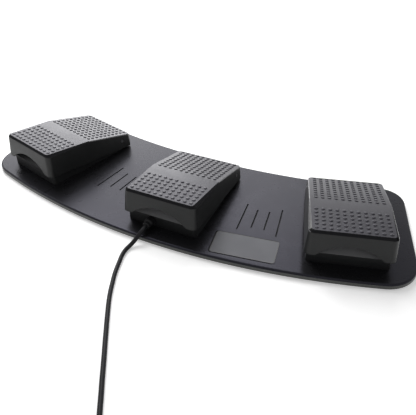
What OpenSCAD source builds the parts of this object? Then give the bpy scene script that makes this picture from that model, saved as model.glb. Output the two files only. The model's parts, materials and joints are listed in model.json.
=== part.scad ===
// Triple foot pedal switch on an arc-shaped plate, with a thin USB cable.
// Millimetres, +Z up. The origin lies under the middle of the plate, on the surface it stands on.
// The toes press and the cable leaves at the -Y side, and the pedals hinge at the +Y side.

/* [Plate] */
// Length of the plate from end to end
plate_len = 396; // [380:1:430]
// Radius of the plate's front and rear edges, seen from above
arc_r = 580; // [520:5:700]
// Depth of the plate from its front edge to its rear edge
plate_depth = 128.5; // [124:0.5:145]
// Thickness of the plate
plate_t = 5; // [4.6:0.1:8]
// Slant of the plate's two ends
end_slant = 15; // [12:0.5:18]
// Radius of the two front corners
front_corner_r = 27; // [18:1:32]
// Radius of the two rear corners
rear_corner_r = 20; // [14:1:24]
// Rounding of the plate's top edge
edge_r = 1.5; // [0.6:0.1:2]
// Width of the rim round the hollow underneath
rim_w = 8; // [5:0.5:10]
// Wall of the plate above the hollow
plate_roof = 2.2; // [1.8:0.1:2.4]
// Thickness of the sheet that closes the hollow
sheet_t = 1.2; // [1:0.1:1.4]

/* [Feet] */
// Diameter of a rubber foot
foot_d = 14; // [8:0.5:15]
// Height of a rubber foot
foot_h = 1; // [0.6:0.1:3]

/* [Pedal covers] */
// Width of a pedal
pedal_w = 64; // [60:0.5:72]
// Length of a pedal along its tread
pedal_l = 96.5; // [92:0.5:104]
// Angle from one pedal to the next
fan = 15.3; // [13.5:0.1:16]
// Distance from the plate's rear edge to a pedal's rear end
rear_margin = 17.7; // [12:0.1:20]
// Height of the tread's rear edge above the plate
rear_top = 13.8; // [13.4:0.1:16]
// Distance from the rear end to the kink in the tread
kink_u = 50.5; // [46:0.5:56]
// Height of the kink above the plate
kink_top = 27.2; // [26.4:0.1:30]
// Height of the tread's front edge above the plate
front_top = 32.3; // [31:0.1:36]
// Height of the skirt's lower edge at the rear end
skirt_rear = 3.2; // [2.8:0.1:5]
// Height of the skirt's lower edge at the front
skirt_front = 10.6; // [9.6:0.1:12]
// How far the front skirt's foot stands forward of the tread's edge
skirt_lean = 2.3; // [1.6:0.1:3]
// How far a side skirt's foot stands outside of the tread's edge, at the front
skirt_flare = 1.7; // [1:0.1:2]
// Wall of the skirt at the sides and the rear
cover_wall = 2; // [1.6:0.1:2.4]
// Wall of the front skirt
front_wall = 2.5; // [2:0.1:2.8]
// Thickness of the tread, measured upright
tread_t = 2; // [1.6:0.1:2.4]
// Width of the chamfer band round the tread's front half
band = 2.3; // [1:0.1:2.6]
// Radius of the front corners
cover_front_r = 4.5; // [3:0.1:5]
// Radius of the rear corners
cover_rear_r = 4; // [3:0.1:4.5]
// Width of the arch in the front skirt
arch_w = 50; // [40:0.5:52]
// Height of the arch above the skirt's lower edge
arch_h = 10; // [8:0.1:12]
// Angle through which a pedal can be pressed
press = 4.5; // [3:0.1:4.8]

/* [Housings] */
// Clearance between a cover and the housing inside it
cover_gap = 0.9; // [0.6:0.1:1.2]
// Clearance under the tread when the pedal is fully pressed
press_gap = 0.7; // [0.5:0.1:1.2]
// Wall of a housing
housing_wall = 2; // [1.6:0.1:2.4]
// Floor of a housing
floor_t = 2; // [1.6:0.1:2.2]
// Distance from the tread's front edge back to the housing's front face
front_setback = 2; // [1.8:0.1:3]
// Height of the housing's front face below its slope
brow_h = 9.7; // [9.6:0.1:11]
// Length of the slope behind the front face
slope_l = 14.5; // [12:0.5:16]

/* [Hinges] */
// Diameter of a hinge pin
pin_d = 3; // [2:0.1:3.4]
// Distance from the rear end to the pin
pin_u = 12; // [10:0.1:13]
// Height of the pin above the plate
pin_z = 10.4; // [10:0.1:10.8]
// Clearance round the pin
pin_gap = 0.05; // [0.02:0.01:0.1]

/* [Springs] */
// Outer diameter of a return spring
spring_d = 10; // [9:0.5:12]
// Diameter of the spring's wire
wire_d = 1; // [0.8:0.1:1.2]
// Number of curls in the spring
spring_curls = 6.5; // [5:0.5:8]
// Distance from the tread's front edge back to the spring
spring_inset = 26.5; // [25.5:0.5:29.5]

/* [Switches] */
// Width of a switch across the pedal
switch_w = 20; // [18:0.1:22]
// Depth of a switch along the pedal
switch_d = 6.4; // [6:0.1:7]
// Height of a switch's body
switch_h = 10.2; // [9:0.1:10.4]
// Distance from the rear end to the switch
switch_u = 26; // [25.5:0.1:26.4]
// Gap between the plunger and the rib that presses it
plunger_gap = 0.3; // [0.25:0.05:0.5]

/* [Cable] */
// Diameter of the cable
cable_d = 3.5; // [3:0.1:3.8]
// Distance of the gland from the pedal's middle line
gland_v = 9; // [8:0.5:12]
// Height of the gland above the plate
gland_z = 5.5; // [5:0.1:5.6]
// Diameter of the gland at the housing
gland_d = 7.8; // [7:0.1:8]
// Length of the gland outside the housing
gland_l = 9.5; // [8:0.5:11]
// Turns in one layer of the coil
coil_turns = 2.75; // [1.75:1:3.75]
// Number of layers in the coil
coil_layers = 4; // [2:2:4]
// Radius of the coil at the middle of its turns
coil_r = 18.5; // [18:0.5:21]
// Gap between turns that lie side by side
turn_gap = 0.8; // [0.6:0.1:1.2]
// Gap between layers of turns
layer_gap = 0.6; // [0.5:0.1:1]

/* [Hidden] */
$fn = 48;
slop = 1;            // how far cuts run past the faces they cut
seat_gap = 0.2;      // gap at the seats of loose inner pieces
fit_gap = 0.05;      // gap round pieces that sit fixed in holes

// Levels of the plate
plate_top = foot_h + plate_t;
hollow_h = plate_t - plate_roof;
lane_z = foot_h + (hollow_h + sheet_t)/2;

// Places of the plate's corner arcs, about the centre of its front edge's arc
function polar(r, a) = [r*sin(a), -r*cos(a)];
function around(a) = [cos(a), sin(a)];
function steps(a, b, n) = [for (k = [0:n]) a + (b - a)*k/n];
function later(a, b, n) = [for (k = [1:n]) a + (b - a)*k/n];
near_a = asin((plate_len/2 - front_corner_r)/(arc_r - front_corner_r));
near_c = polar(arc_r - front_corner_r, near_a);
rear_arc_c = [0, plate_depth];
end_d = near_c*around(end_slant) + front_corner_r;
far_reach = end_d - rear_corner_r - rear_arc_c*around(end_slant);
far_a = end_slant + asin(far_reach/(arc_r + rear_corner_r));
far_c = rear_arc_c + polar(arc_r + rear_corner_r, far_a);
arc_y = (arc_r - far_c[1] - rear_corner_r)/2;
long_steps = 14;
corner_steps = 6;

// Half of the plate's outline, drawn in by d, and the whole of it
function half_outline(d) = concat(
    [for (a = steps(0, near_a, long_steps)) polar(arc_r - d, a)],
    [for (a = later(near_a - 90, end_slant, corner_steps)) near_c + (front_corner_r - d)*around(a)],
    [for (a = steps(end_slant, far_a + 90, corner_steps)) far_c + (rear_corner_r - d)*around(a)],
    [for (a = later(far_a, 0, long_steps)) rear_arc_c + polar(arc_r + d, a)]);
function outline(d) = let (h = half_outline(d), n = len(h))
    concat(h, [for (k = [n - 2:-1:1]) [-h[k][0], h[k][1]]]);

// Sheet screws and feet, as [radius, angle] about the arc's centre
sheet_gap = 0.3;
sheet_screw_d = 2.5;
sheet_head_d = 4.8;
sheet_screw_l = 2.4;
boss_d = 7;
fastener_inset = 14;
row_shift = 6;
sheet_screw_a = [-14.5, -5.5, 5.5, 14.5];
foot_a = [-17.6, 0, 17.6];
front_row = arc_r - fastener_inset;
rear_row = arc_r - plate_depth + fastener_inset + row_shift;
sheet_screw_at = [for (a = sheet_screw_a) for (r = [front_row, rear_row]) [r, a]];
foot_at = [for (a = foot_a) for (r = [front_row - row_shift, rear_row + row_shift]) [r, a]];

// Pedals
pedal_r = arc_r - plate_depth + rear_margin;
rear_slope = (kink_top - rear_top)/kink_u;
front_slope = (front_top - kink_top)/(pedal_l - kink_u);
face_lean = skirt_lean/(front_top - skirt_front);
side_lean = skirt_flare/(front_top - skirt_front);
function tread(u) = u < kink_u ? rear_top + rear_slope*u : kink_top + front_slope*(u - kink_u);
function under(u) = tread(u) - tread_t;
function pressed(u) = under(u) - max(0, u - pin_u)*tan(press) - press_gap;
function face_u(z) = pedal_l + face_lean*(front_top - z);
arch_r = (arch_w*arch_w/4 + arch_h*arch_h)/(2*arch_h);
cover_span = pedal_w + 2*side_lean*front_top;   // blank that the leaning sides are cut from

// Housings
housing_w = pedal_w - 2*(cover_wall + cover_gap);
housing_rear = cover_wall + cover_gap;
housing_front = pedal_l - front_setback;
knee_u = housing_front - slope_l;
slope_rise = (pressed(knee_u) - brow_h)/slope_l;
slope_wall = housing_wall*sqrt(1 + slope_rise*slope_rise);
housing_corner_r = 2.5;
ledge_w = 40;
ledge_gap = 0.3;
post_d = 7;
post_h = 6;
post_rear_u = 15;
post_inset = 9.5;
post_u = [post_rear_u, housing_front - post_inset];
post_v = 20;
post_roof = 1;       // material left in a post above its screw hole
screw_d = 3;
screw_end_gap = 0.5;
screw_head_d = 5.6;

// Springs
spring_u = pedal_l - spring_inset;
coil_axis_r = (spring_d - wire_d)/2;
guide_gap = 0.7;
guide_d = spring_d - 2*(wire_d + guide_gap);
guide_h = 4;
seat_rim = 1;
seat_d = spring_d + 2*seat_rim;
seat_rise = 0.4;     // height of the spring's seat below the tread, where it is least
seat_z = under(spring_u - seat_d/2) - seat_rise;
spring_rings = 8;
spring_sides = 6;

// Switches
switch_z = 5.5;
switch_hole_d = 2.2;
switch_hole_z = 2.4;
saddle_w = 3;
plunger_w = 3.2;
plunger_d = 2.6;
plunger_v = -2.7;
plunger_up = 1.3;
plunger_h = 3.8;
plunger_slide = 0.15;
plunger_travel = 1.3;
plunger_top = switch_z + switch_h + plunger_up;
rib_w = 8;
rib_d = 3;
terminal = [3.2, 0.5, 3];
terminal_v = [-5, 0, 5];

// Controller board in the centre housing
board_t = 1.6;
board_w = 40;
board_rear_gap = 8;  // from the switch's middle to the board
board_front_gap = 10; // from the board to the spring's axis
board_u = [switch_u + board_rear_gap, spring_u - board_front_gap];
board_pad = 0.6;
board_z = floor_t + board_pad;
board_screw_inset = 4;
board_screw_u = board_u[1] - board_screw_inset;
board_screw_v = board_w/2 - board_screw_inset;
socket_l = 6;
// Chip, crystal, cable socket and two small blocks: [u, v, length, width, height]
board_blocks = [
    [board_u[0] + 12, 5, 7, 7, 1],
    [board_u[0] + 6, -5, 3.5, 9, 3],
    [board_u[1] - socket_l/2, -gland_v, socket_l, 9, 4.4],
    [board_u[0] + 4, 12, 2, 3, 1.2],
    [board_u[1] - 8, 12, 3, 4, 2]];

// Leads in the hollow: each switch has two wires, [u of the hole, v at the switch, v at the board]
lead_d = 1.2;
lead_z = switch_z - terminal[2] + lead_d/2;
lead_hole_d = 1.6;
lead_step = 3.5;
lead_entry = [6, 8];      // distance of each wire's hole from the board's rear edge
lead_wires = [
    [board_u[0] + lead_entry[0], terminal_v[1], board_screw_v],
    [board_u[0] + lead_entry[1], terminal_v[2], board_screw_v - lead_step]];

// Cable
gland_neck_d = 5.4;
gland_tip_d = 6.2;
gland_collar_l = 5.2;
gland_taper_l = 1.4;
gland_tip_edge = 0.6;
gland_flange = 1.5;
gland_flange_d = 2*(gland_z - floor_t - seat_gap);
gland_y = arc_y - pedal_r - housing_front - gland_l;
cable_sides = 8;

// Route of the free cable from the gland over the plate's edge and along the floor
cable_route = [
    [-9.2, -72, 11.1], [-9.8, -74.6, 10], [-10.8, -77.2, 8], [-12, -79.6, 5.8],
    [-13.2, -82.2, 3.8], [-14.4, -85.2, 2.4], [-15.2, -90, 1.8], [-14.3, -97, 1.75],
    [-12.5, -103, 1.75], [-10.4, -110, 1.75], [-8, -117, 1.75], [-5, -124, 1.75],
    [-1.5, -132, 1.75], [2.5, -140, 1.75], [7, -148, 1.75], [11.6, -156, 1.75],
    [16.3, -164, 1.75], [21, -172, 1.75], [25.8, -180, 1.75], [30.5, -188, 1.75],
    [35.2, -196, 1.75], [40, -204, 1.75], [44.7, -212, 1.75], [49.5, -220, 1.75],
    [54.2, -228, 1.8], [58.9, -236, 2.1], [63.6, -244, 2.6], [67.2, -250, 3]];

// Coil of the spare cable: the route runs into it at its outer edge, and it winds anticlockwise
coil_c = [94.5, -248.5];
coil_start = 210.5;
coil_rings = 24;
coil_sides = 6;
turn_step = cable_d + turn_gap;
layer_step = cable_d + layer_gap;
coil_out = coil_r + turn_step*coil_turns/2;
coil_in = coil_r - turn_step*coil_turns/2;
layer_a = 360*coil_turns + 180;
coil_a = layer_a*coil_layers - 180;
tie_t = 0.9;
tie_w = 6;
tie_gap = 0.4;
tie_lift = 0.1;      // the tie's height above the floor
tie_corner_r = 2;
tie_a = 330;
coil_z = tie_lift + tie_t + tie_gap + cable_d/2;
coil_top_z = coil_z + layer_step*(coil_layers - 1);

// Plug at the end of the cable
plug_body = [30, 15, 8];
plug_corner_r = 2.4;
plug_relief_l = 9;
plug_relief_d = 5.6;
relief_edge = 0.5;
relief_root_r = plug_body[2]/2 - 0.6;
relief_sink = 1;
grip_count = 5;
grip_from = 6;
grip_step = 3;
grip_w = 1.2;
grip_depth = 0.5;
plug_z = plug_body[2]/2;
shell_l = 18.75;
shell_w = 12;
shell_h = 4.5;
shell_t = 0.3;
shell_corner_r = 0.6;
tongue_gap = 0.2;
tongue_t = 1.84;
tongue_l = 17.5;
tongue_w = shell_w - 2*(shell_t + tongue_gap);
tongue_z = plug_z + shell_h/2 - shell_t - tongue_gap - tongue_t;
contact_inset = 1;
contact_l = 14.5;
contact_w = 1.2;
contact_t = 0.15;
contact_at = [-3.5, -1, 1, 3.5];
wrap_gap = 1.4;      // gap between the coil and the lead that wraps it
wrap_step = cable_d + wrap_gap;
wrap_a = 270 - (coil_start + coil_a) % 360;
wrap_rings = 22;
wrap_out = 0.45;     // share of the wrap in which the lead moves out from the coil
wrap_drop = 0.3;     // share of the wrap after which the lead comes down
plug_run = 12;
plug_x = coil_c[0] + plug_run + plug_relief_l;
plug_y = coil_c[1] - coil_out - wrap_step;

// Places children in a pedal's own frame: x across it, y from its rear end back to +Y, z above the plate
module at_pedal(side) {
    translate([0, arc_y, plate_top])
        rotate([0, 0, fan*side])
            translate([0, -pedal_r, 0]) children();
}

// Places children on the plate at a radius and an angle about the arc's centre
module at_polar(place) {
    translate([0, arc_y, 0]) rotate([0, 0, place[1]]) translate([0, -place[0], 0]) children();
}

// A solid of width w from a side view of points [u, z], u being the distance from the pedal's rear end
module across(points, w) {
    translate([-w/2, 0, 0])
        rotate([90, 0, 90])
            linear_extrude(w) polygon([for (p = points) [-p[0], p[1]]]);
}

// A round bar across the pedal at [u, z]
module cross_bar(u, z, d, w) {
    translate([-w/2, -u, z]) rotate([0, 90, 0]) cylinder(d = d, h = w);
}

// Everything on the side of a plane that its normal points to
module half_space(p, normal, size) {
    translate(p) rotate([0, acos(normal[2]/norm(normal)), atan2(normal[1], normal[0])])
        translate([-size/2, -size/2, 0]) cube(size);
}

// What rounding an upright corner takes away, with the corner at the origin and the body at -x and -y;
// walls that aren't square to each other lie at x = -kx*y and y = -ky*x
module corner_cut(r, h, kx = 0, ky = 0) {
    qx = sqrt(1 + kx*kx);
    qy = sqrt(1 + ky*ky);
    c = [kx*qy - qx, ky*qx - qy]*r/(1 - kx*ky);
    difference() {
        linear_extrude(h) polygon([c, c + (r + slop)*[1, kx]/qx, [slop, slop], c + (r + slop)*[ky, 1]/qy]);
        translate([c[0], c[1], -slop]) cylinder(r = r, h = h + 2*slop);
    }
}

// What leaning the side walls takes away: at the tread's height they stand half_w from the middle line,
// and lower down further out
module leaning_sides(half_w) for (m = [0, 1]) mirror([m, 0, 0]) {
    half_space([half_w, 0, rear_top], [1, side_lean*rear_slope, side_lean], 3*pedal_l);
    half_space([half_w, -kink_u, kink_top], [1, side_lean*front_slope, side_lean], 3*pedal_l);
}

// A rectangle with round corners, centred
module soft_square(w, h, r) {
    square([w - 2*r, h], center = true);
    square([w, h - 2*r], center = true);
    for (x = [-1, 1]) for (y = [-1, 1]) translate([x*(w/2 - r), y*(h/2 - r)]) circle(r);
}

// A tube of round section swept along a path
function unit(v) = v/norm(v);
function heading(path, k) = unit(path[min(k + 1, len(path) - 1)] - path[max(k - 1, 0)]);
function ring(c, t, r, n) = let (side = unit(cross(t, [0, 0, 1])), up = cross(side, t))
    [for (j = [0:n - 1]) c + r*(side*cos(360*j/n) + up*sin(360*j/n))];
module swept_tube(path, r, n) {
    last = len(path) - 1;
    points = [for (k = [0:last]) each ring(path[k], heading(path, k), r, n)];
    walls = [for (k = [0:last - 1]) for (j = [0:n - 1]) let (i = (j + 1) % n)
        each [[k*n + j, k*n + i, (k + 1)*n + i], [k*n + j, (k + 1)*n + i, (k + 1)*n + j]]];
    first_cap = [for (j = [1:n - 2]) [0, j + 1, j]];
    last_cap = [for (j = [1:n - 2]) [last*n, last*n + j, last*n + j + 1]];
    polyhedron(points, concat(walls, first_cap, last_cap), convexity = 10);
}

// Adds a straight end of length l to each end of a path
function straight_ends(path, l) = let (n = len(path)) concat(
    [path[0] - l*unit(path[1] - path[0])], path, [path[n - 1] + l*unit(path[n - 1] - path[n - 2])]);
// Least distance between points of a path that are at least skip points apart, less the tube's diameter
function least_gap(path, d, skip) = min([for (i = [0:len(path) - 1 - skip])
    min([for (j = [i + skip:len(path) - 1]) norm(path[i] - path[j])])]) - d;
function ease(s) = s*s*(3 - 2*s);

// Base plate: an arc-shaped slab with a soft top edge, hollow underneath for the leads
low_edge = 0.4;
plate_rings = concat([[low_edge, foot_h], [0, foot_h + low_edge]],
    [for (a = [0, 30, 60, 90]) [edge_r*(1 - cos(a)), plate_top - edge_r + edge_r*sin(a)]]);
module plate_slab() {
    n = len(outline(0));
    top = len(plate_rings) - 1;
    points = [for (g = plate_rings) for (p = outline(g[0])) [p[0], p[1] + arc_y, g[1]]];
    walls = [for (g = [0:top - 1]) for (j = [0:n - 1]) let (i = (j + 1) % n)
        each [[g*n + j, (g + 1)*n + j, (g + 1)*n + i], [g*n + j, (g + 1)*n + i, g*n + i]]];
    polyhedron(points, concat(walls, [[for (j = [0:n - 1]) j]], [[for (j = [n - 1:-1:0]) top*n + j]]));
}
module under_hollow() {
    difference() {
        translate([0, arc_y, foot_h - slop]) linear_extrude(hollow_h + slop) polygon(outline(rim_w));
        for (p = sheet_screw_at) at_polar(p)
            translate([0, 0, foot_h + sheet_t]) cylinder(d = boss_d, h = plate_t);
    }
}
module at_posts() {
    for (u = post_u) for (v = [-post_v, post_v]) translate([v, -u, 0]) children();
}
// Holes for the wires of an outer switch, above its hollow and again at the board
module lead_hole() {
    cylinder(d = lead_hole_d, h = plate_t + floor_t + slop);
}
module lead_holes(side) {
    for (w = lead_wires) {
        at_pedal(side) translate([w[1], -w[0], -plate_t]) lead_hole();
        board_end(w, side) translate([0, 0, foot_h]) lead_hole();
    }
}
module base_plate() color("#2b2c30") difference() {
    plate_slab();
    under_hollow();
    for (p = sheet_screw_at) at_polar(p) translate([0, 0, foot_h])
        cylinder(d = sheet_screw_d + 2*fit_gap, h = sheet_t + sheet_screw_l + fit_gap);
    for (side = [-1:1]) at_pedal(side) at_posts()
        translate([0, 0, -plate_t]) cylinder(d = screw_d + 2*seat_gap, h = plate_t + slop);
    for (side = [-1, 1]) lead_holes(side);
}

// Sheet that closes the hollow, its countersunk screws and the feet stuck to it
module countersink(gap) {
    cylinder(d1 = sheet_head_d + 2*gap, d2 = sheet_screw_d + 2*gap, h = sheet_t);
}
module bottom_sheet() color("#1d1d20") difference() {
    translate([0, arc_y, foot_h]) linear_extrude(sheet_t) polygon(outline(rim_w + sheet_gap));
    for (p = sheet_screw_at) at_polar(p) translate([0, 0, foot_h]) countersink(fit_gap);
}
module sheet_screws() color("#8d8f94") for (p = sheet_screw_at) at_polar(p) translate([0, 0, foot_h]) {
    countersink(0);
    cylinder(d = sheet_screw_d, h = sheet_t + sheet_screw_l);
}
module rubber_feet() color("#141414") for (p = foot_at) at_polar(p) cylinder(d = foot_d, h = foot_h);

// Housing: an open tray with a sloping brow, bosses for its screws, a saddle for the switch,
// a guide for the spring and a ledge that stops the cover's rear wall on its way down
module housing_body() {
    inner_w = housing_w - 2*housing_wall;
    inner_front = housing_front - housing_wall;
    brow_in = brow_h + slope_rise*housing_wall - slope_wall;
    inner_knee = knee_u - housing_wall;
    knee_in = brow_h + slope_rise*(housing_front - inner_knee) - slope_wall;
    lean_a = atan(side_lean);
    difference() {
        across([[housing_rear, 0], [housing_rear, pressed(housing_rear)], [kink_u, pressed(kink_u)],
            [knee_u, pressed(knee_u)], [housing_front, brow_h], [housing_front, 0]], cover_span);
        leaning_sides(housing_w/2);
        difference() {
            across([[housing_rear + housing_wall, floor_t], [housing_rear + housing_wall, front_top],
                [inner_knee, front_top], [inner_knee, knee_in], [inner_front, brow_in],
                [inner_front, floor_t]], cover_span);
            leaning_sides(inner_w/2);
        }
        for (m = [0, 1]) mirror([m, 0, 0]) {
            translate([housing_w/2 + side_lean*tread(housing_rear), -housing_rear, 0])
                rotate([0, -lean_a, 0]) translate([0, 0, -slop])
                    corner_cut(housing_corner_r, front_top, side_lean*rear_slope);
            translate([housing_w/2 + side_lean*tread(housing_front), -housing_front, 0])
                rotate([0, -lean_a, 0]) mirror([0, 1, 0]) translate([0, 0, -slop])
                    corner_cut(housing_corner_r, front_top, -side_lean*front_slope);
        }
    }
    at_posts() translate([0, 0, floor_t]) cylinder(d = post_d, h = post_h - floor_t);
    for (x = [-1, 1])
        translate([x*(switch_w - saddle_w)/2 - saddle_w/2, -switch_u - switch_d/2, floor_t])
            cube([saddle_w, switch_d, switch_z - floor_t]);
    translate([0, -spring_u, floor_t]) cylinder(d = guide_d, h = guide_h);
    translate([-ledge_w/2, -housing_rear - housing_wall/2, 0])
        cube([ledge_w, housing_rear + housing_wall/2 - ledge_gap, skirt_rear - ledge_gap]);
}
module housing(side) color("#232427") difference() {
    union() {
        at_pedal(side) housing_body();
        if (side == 0) at_pedal(side) for (v = [-board_screw_v, board_screw_v])
            translate([v, -board_screw_u, floor_t]) cylinder(d = post_d, h = board_pad);
    }
    at_pedal(side) cross_bar(pin_u, pin_z, pin_d + 2*fit_gap, pedal_w);
    at_pedal(side) at_posts()
        translate([0, 0, -slop]) cylinder(d = screw_d + 2*fit_gap, h = slop + post_h - post_roof);
    if (side == 0) {
        at_pedal(side) translate([-gland_v, -housing_front + housing_wall + slop, gland_z])
            rotate([90, 0, 0]) cylinder(d = gland_neck_d + 2*fit_gap, h = housing_wall + 2*slop);
        at_pedal(side) for (v = [-board_screw_v, board_screw_v])
            translate([v, -board_screw_u, floor_t/2]) cylinder(d = sheet_screw_d + 2*fit_gap, h = floor_t);
        for (s = [-1, 1]) lead_holes(s);
    } else lead_holes(side);
}
module housing_screws() color("#8d8f94") for (side = [-1:1]) at_pedal(side) at_posts() {
    head_h = hollow_h - sheet_t - seat_gap;
    translate([0, 0, -plate_roof - head_h]) cylinder(d = screw_head_d, h = head_h);
    translate([0, 0, -plate_roof])
        cylinder(d = screw_d, h = plate_roof + post_h - post_roof - screw_end_gap);
}
module hinge_pin(side) color("#a8abb0") at_pedal(side)
    cross_bar(pin_u, pin_z, pin_d, pedal_w + 2*side_lean*(tread(pin_u) - pin_z) + 2*seat_gap);

// Pedal cover: a moulded shell with a kinked tread, an arched front skirt and a chamfer band
// that starts at the kink and widens towards the front corners
module cover_outside() {
    band_side = [pedal_w/2, -kink_u, kink_top];
    band_top = [pedal_w/2 - band, -pedal_l, front_top];
    band_low = [pedal_w/2 + side_lean*band, -pedal_l, front_top - band];
    rear_a = atan(side_lean);
    front_a = atan(side_lean*(1 + front_slope*face_lean));
    face_a = atan(face_lean*cos(front_a));
    difference() {
        across([[0, skirt_rear], [0, rear_top], [kink_u, kink_top], [pedal_l - band, tread(pedal_l - band)],
            [face_u(front_top - band), front_top - band], [face_u(skirt_front), skirt_front]], cover_span);
        leaning_sides(pedal_w/2);
        for (m = [0, 1]) mirror([m, 0, 0]) {
            half_space(band_side, cross(band_top - band_side, band_low - band_side), 3*pedal_l);
            translate([pedal_w/2 + side_lean*rear_top, 0, 0]) rotate([0, -rear_a, 0])
                corner_cut(cover_rear_r, front_top, side_lean*rear_slope);
            translate([pedal_w/2 + tan(front_a)*front_top, -face_u(0), 0]) rotate([-face_a, -front_a, 0])
                mirror([0, 1, 0]) translate([0, 0, -slop])
                    corner_cut(cover_front_r, front_top + 4*slop, -side_lean*front_slope, face_lean*side_lean);
        }
    }
}
module cover_inside() {
    low = -slop;
    difference() {
        across([[cover_wall, low], [cover_wall, under(cover_wall)], [kink_u, under(kink_u)],
            [pedal_l - front_wall, under(pedal_l - front_wall)], [face_u(low) - front_wall, low]], cover_span);
        leaning_sides(pedal_w/2 - cover_wall);
    }
}
// Rib that presses the plunger, and the seat and guide of the spring
module cover_ribs() {
    translate([plunger_v - rib_w/2, -switch_u - rib_d/2, plunger_top + plunger_gap])
        cube([rib_w, rib_d, front_top]);
    translate([0, -spring_u, seat_z]) cylinder(d = seat_d, h = front_top);
    translate([0, -spring_u, seat_z - guide_h]) cylinder(d = guide_d, h = front_top);
}
module pedal_cover(side) color("#55565e") at_pedal(side) difference() {
    union() {
        difference() {
            cover_outside();
            cover_inside();
        }
        intersection() {
            cover_outside();
            cover_ribs();
        }
    }
    cross_bar(pin_u, pin_z, pin_d + 2*pin_gap, cover_span);
    translate([0, -pedal_l + 2*front_wall + slop, skirt_front + arch_h - arch_r]) rotate([90, 0, 0])
        cylinder(r = arch_r, h = 4*front_wall + skirt_lean, $fn = 96);
}

// Return spring under the front half of the tread
spring_low = floor_t + seat_gap + wire_d/2;
spring_high = seat_z - seat_gap - wire_d/2;
spring_last = spring_curls*spring_rings;
function spring_at(k) = let (a = 360*k/spring_rings)
    [coil_axis_r*cos(a), coil_axis_r*sin(a), spring_low + (spring_high - spring_low)*k/spring_last];
spring_path = straight_ends([for (k = [0:spring_last]) spring_at(k)], wire_d/4);
module return_spring(side) color("#b9bcc2") at_pedal(side) translate([0, -spring_u, 0]) {
    echo(spring_gap = least_gap(spring_path, wire_d, spring_rings/2));
    swept_tube(spring_path, wire_d/2, spring_sides);
}

// Microswitch on its saddle, with a plunger that the cover's rib presses
module switch_body(side) color("#3a3a3d") at_pedal(side) difference() {
    translate([-switch_w/2, -switch_u - switch_d/2, switch_z]) cube([switch_w, switch_d, switch_h]);
    translate([plunger_v - plunger_w/2 - plunger_slide, -switch_u - plunger_d/2 - plunger_slide,
        plunger_top - plunger_h - plunger_travel])
        cube([plunger_w + 2*plunger_slide, plunger_d + 2*plunger_slide, switch_h]);
    for (x = [-1, 1]) translate([x*(switch_w/4), -switch_u + switch_d, switch_z + switch_hole_z])
        rotate([90, 0, 0]) cylinder(d = switch_hole_d, h = 2*switch_d);
}
module switch_plunger(side) color("#b03a30") at_pedal(side)
    translate([plunger_v - plunger_w/2, -switch_u - plunger_d/2, plunger_top - plunger_h])
        cube([plunger_w, plunger_d, plunger_h]);
module switch_terminals() color("#c9a24a") for (side = [-1:1]) at_pedal(side) for (v = terminal_v)
    translate([v - terminal[0]/2, -switch_u - terminal[1]/2, switch_z - terminal[2]])
        cube(terminal);

// Controller board with its parts and screws
module controller_board() color("#1f5a33") at_pedal(0) difference() {
    translate([-board_w/2, -board_u[1], board_z]) cube([board_w, board_u[1] - board_u[0], board_t]);
    for (v = [-board_screw_v, board_screw_v]) translate([v, -board_screw_u, board_z - slop])
        cylinder(d = sheet_screw_d + 2*fit_gap, h = board_t + 2*slop);
}
module board_parts() color("#18181a") at_pedal(0) for (b = board_blocks)
    translate([b[1] - b[3]/2, -b[0] - b[2]/2, board_z + board_t]) cube([b[3], b[2], b[4]]);
module board_screws() color("#8d8f94") at_pedal(0) for (v = [-board_screw_v, board_screw_v])
    translate([v, -board_screw_u, 0]) {
        translate([0, 0, floor_t/2 + seat_gap])
            cylinder(d = sheet_screw_d, h = board_z + board_t - floor_t/2);
        translate([0, 0, board_z + board_t]) cylinder(d = sheet_head_d, h = sheet_t);
    }

// Leads: each wire leaves a terminal, drops through the floor, follows an arc in the hollow
// and rises to the underside of the board
module board_end(w, side) {
    wire_r = norm([pedal_r + w[0], w[1]]);
    at_polar([wire_r, side*asin(w[2]/wire_r)]) children();
}
module wire(h) {
    cylinder(d = lead_d, h = h);
}
module elbow() {
    sphere(d = lead_d + seat_gap);
}
module lead(side) color("#7a2c2c") for (w = lead_wires) {
    wire_r = norm([pedal_r + w[0], w[1]]);
    from_a = side*fan + atan(w[1]/(pedal_r + w[0]));
    to_a = side*asin(w[2]/wire_r);
    at_pedal(side) translate([w[1], -switch_u - terminal[1]/2, lead_z]) rotate([90, 0, 0])
        wire(w[0] - switch_u - terminal[1]/2);
    at_pedal(side) translate([w[1], -w[0], lead_z]) elbow();
    at_pedal(side) translate([w[1], -w[0], lane_z - plate_top]) wire(lead_z + plate_top - lane_z);
    at_pedal(side) translate([w[1], -w[0], lane_z - plate_top]) elbow();
    translate([0, arc_y, lane_z])
        rotate([0, 0, min(from_a, to_a) - 90])
            rotate_extrude(angle = abs(to_a - from_a), $fn = 720)
                translate([wire_r, 0]) circle(d = lead_d, $fn = 24);
    board_end(w, side) translate([0, 0, lane_z]) elbow();
    board_end(w, side) translate([0, 0, lane_z]) wire(plate_top + board_z - lane_z);
}
module lead_centre() color("#7a2c2c") at_pedal(0) for (w = lead_wires)
    translate([w[1], -switch_u - terminal[1]/2, lead_z])
        rotate([90, 0, 0]) wire(board_u[0] - switch_u - terminal[1]/2);

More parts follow.
